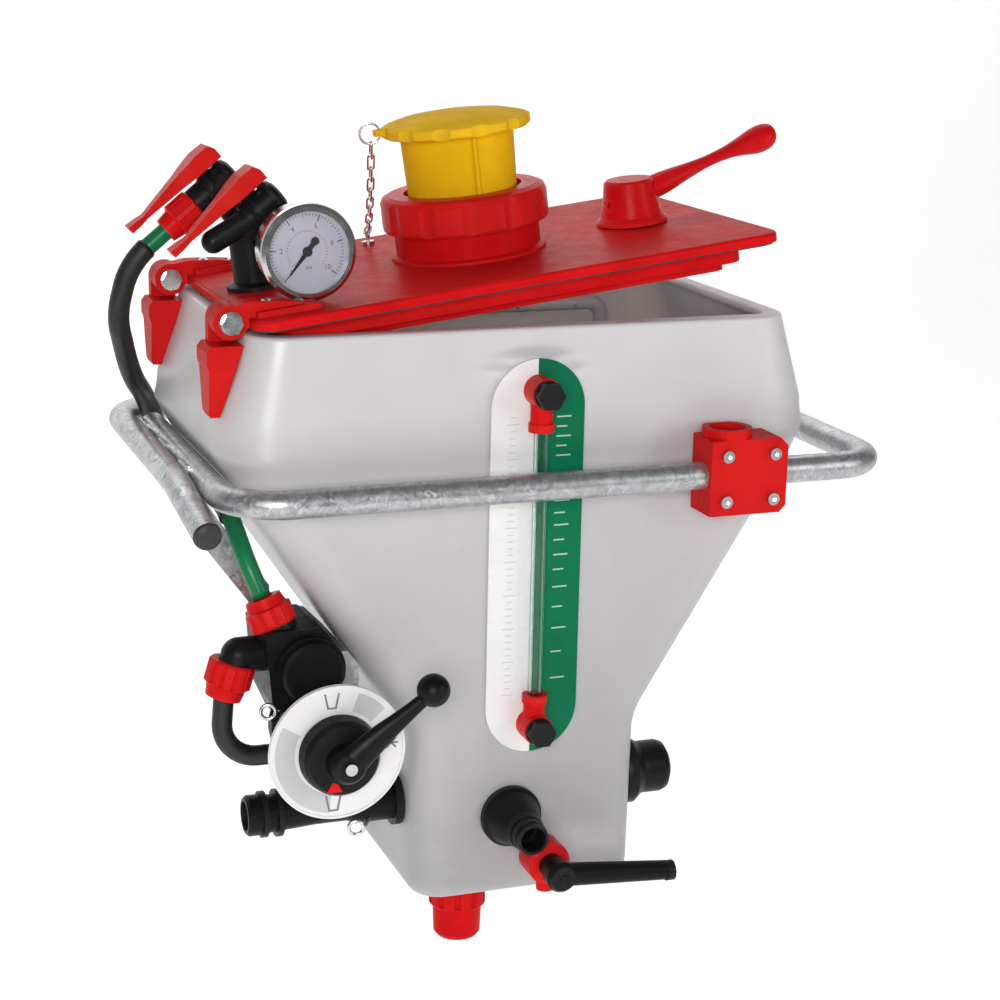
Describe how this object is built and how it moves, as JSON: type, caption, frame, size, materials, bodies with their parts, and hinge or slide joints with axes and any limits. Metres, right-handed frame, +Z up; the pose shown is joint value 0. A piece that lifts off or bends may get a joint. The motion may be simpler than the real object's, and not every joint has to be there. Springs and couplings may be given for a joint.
{
  "type": "chemical induction hopper",
  "caption": "Chemical induction hopper for a field sprayer: moulded funnel in a bent tube ring, hinged red lid with filler cap, valves and gauge, and a selector valve.",
  "frame": {"origin": "on the axis of the carrier ring's straight front tube, at the hopper's middle plane", "axes": "+X along the front tube to the right as seen from the front, +Y to the back, +Z up"},
  "size_m": [0.5377, 0.3945, 0.6319],
  "materials": {
    "hopper_white": "moulded, slightly translucent",
    "red_plastic": "moulded",
    "yellow_plastic": "moulded",
    "black_plastic": "moulded",
    "galvanised": "galvanised tube and bar",
    "stainless": "bright",
    "bright_wire": "bright",
    "white_label": "satin",
    "green_label": "satin",
    "clear_tube": "clear",
    "gauge_glass": "clear",
    "hose": "black sleeve over a green hose",
    "rubber_black": "black",
    "brass": "machined",
    "grey_plastic": "moulded"
  },
  "bodies": {
    "hopper": {"hopper_shell": "hopper_white", "sump_strainer": "stainless", "rinse_pipe": "black_plastic", "carrier_ring": "galvanised", "ring_end_plugs": "rubber_black", "ring_straps": "galvanised", "manifold_strut": "galvanised", "clamp_front": "red_plastic", "clamp_back": "red_plastic", "clamp_fasteners": "stainless", "hinge_brackets": "red_plastic", "hinge_fasteners": "stainless", "sight_plate_white": "white_label", "sight_plate_green": "green_label", "sight_tube": "clear_tube", "sight_elbows": "red_plastic", "sight_nuts": "black_plastic", "manifold_body": "black_plastic", "injector_pipe": "black_plastic", "retaining_clips": "bright_wire", "selector_plate": "white_label", "manifold_nuts": "red_plastic", "feed_hose": "hose", "bypass_hose": "hose", "front_outlet": "black_plastic", "port_backnuts": "grey_plastic", "cock_body": "red_plastic", "side_port": "black_plastic", "drain_neck": "black_plastic", "drain_seal": "rubber_black"},
    "lid": {"lid_panel": "red_plastic", "lid_seals": "rubber_black", "lid_arms": "red_plastic", "arm_screws": "stainless", "filler_neck": "red_plastic", "chain_eye": "stainless", "latch_bush": "black_plastic", "valve_riser": "black_plastic", "valve_bodies": "black_plastic", "valve_hose_nut": "red_plastic", "gauge_case": "stainless", "gauge_dial": "white_label", "gauge_glass": "gauge_glass", "gauge_stem": "brass", "cap_chain": "bright_wire"},
    "filler_nut": {"ring_nut": "red_plastic"},
    "filler_cap_body": {"filler_cap": "yellow_plastic", "cap_ring": "bright_wire"},
    "latch": {"latch_lever": "red_plastic", "latch_spindle": "stainless"},
    "back_valve": {"valve_stem_back": "stainless", "valve_lever_back": "red_plastic"},
    "front_valve": {"valve_stem_front": "stainless", "valve_lever_front": "red_plastic"},
    "gauge_needle": {"gauge_pointer": "black_plastic"},
    "selector": {"selector_lever": "black_plastic", "selector_pointer": "red_plastic"},
    "sample_cock": {"cock_lever": "black_plastic"},
    "drain_closure": {"drain_cap": "red_plastic"}
  },
  "joints": [
    {"name": "lid_hinge", "type": "hinge", "parent": "hopper", "child": "lid", "pos_m": [-0.212, 0.163, 0.114], "axis": [0, -1, 0], "range_deg": [-7.4, 95], "deforming": ["feed_hose"]},
    {"name": "ring_nut_turn", "type": "hinge", "parent": "lid", "child": "filler_nut", "pos_m": [-0.00886, 0.163, 0.17265], "axis": [-0.1288, 0, 0.9917], "range_deg": [0, 180]},
    {"name": "cap_lift", "type": "slide", "parent": "lid", "child": "filler_cap_body", "axis": [-0.1288, 0, 0.9917], "range_m": [0, 0.035], "deforming": ["cap_chain"]},
    {"name": "latch_turn", "type": "hinge", "parent": "lid", "child": "latch", "pos_m": [0.12432, 0.163, 0.17986], "axis": [-0.1288, 0, 0.9917], "range_deg": [-90, 0]},
    {"name": "back_valve_turn", "type": "hinge", "parent": "lid", "child": "back_valve", "pos_m": [-0.18186, 0.208, 0.19254], "axis": [-0.6414, 0, 0.7672], "range_deg": [-90, 0]},
    {"name": "front_valve_turn", "type": "hinge", "parent": "lid", "child": "front_valve", "pos_m": [-0.1657, 0.138, 0.18455], "axis": [-0.6414, 0, 0.7672], "range_deg": [0, 90]},
    {"name": "gauge_needle_turn", "type": "hinge", "parent": "lid", "child": "gauge_needle", "pos_m": [-0.15317, 0.077, 0.15794], "axis": [0, 1, 0], "range_deg": [0, 270], "stiffness_Nm_per_rad": 0.001},
    {"name": "selector_turn", "type": "hinge", "parent": "hopper", "child": "selector", "pos_m": [-0.158, -0.015, -0.174], "axis": [0, -1, 0], "range_deg": [-90, 90]},
    {"name": "sample_cock_turn", "type": "hinge", "parent": "hopper", "child": "sample_cock", "pos_m": [0.002, -0.015, -0.279], "axis": [0, -1, 0], "range_deg": [-90, 0]},
    {"name": "drain_cap_turn", "type": "hinge", "parent": "hopper", "child": "drain_closure", "pos_m": [-0.026, 0.107, -0.354], "axis": [0, 0, -1], "range_deg": [0, 180]}
  ]
}
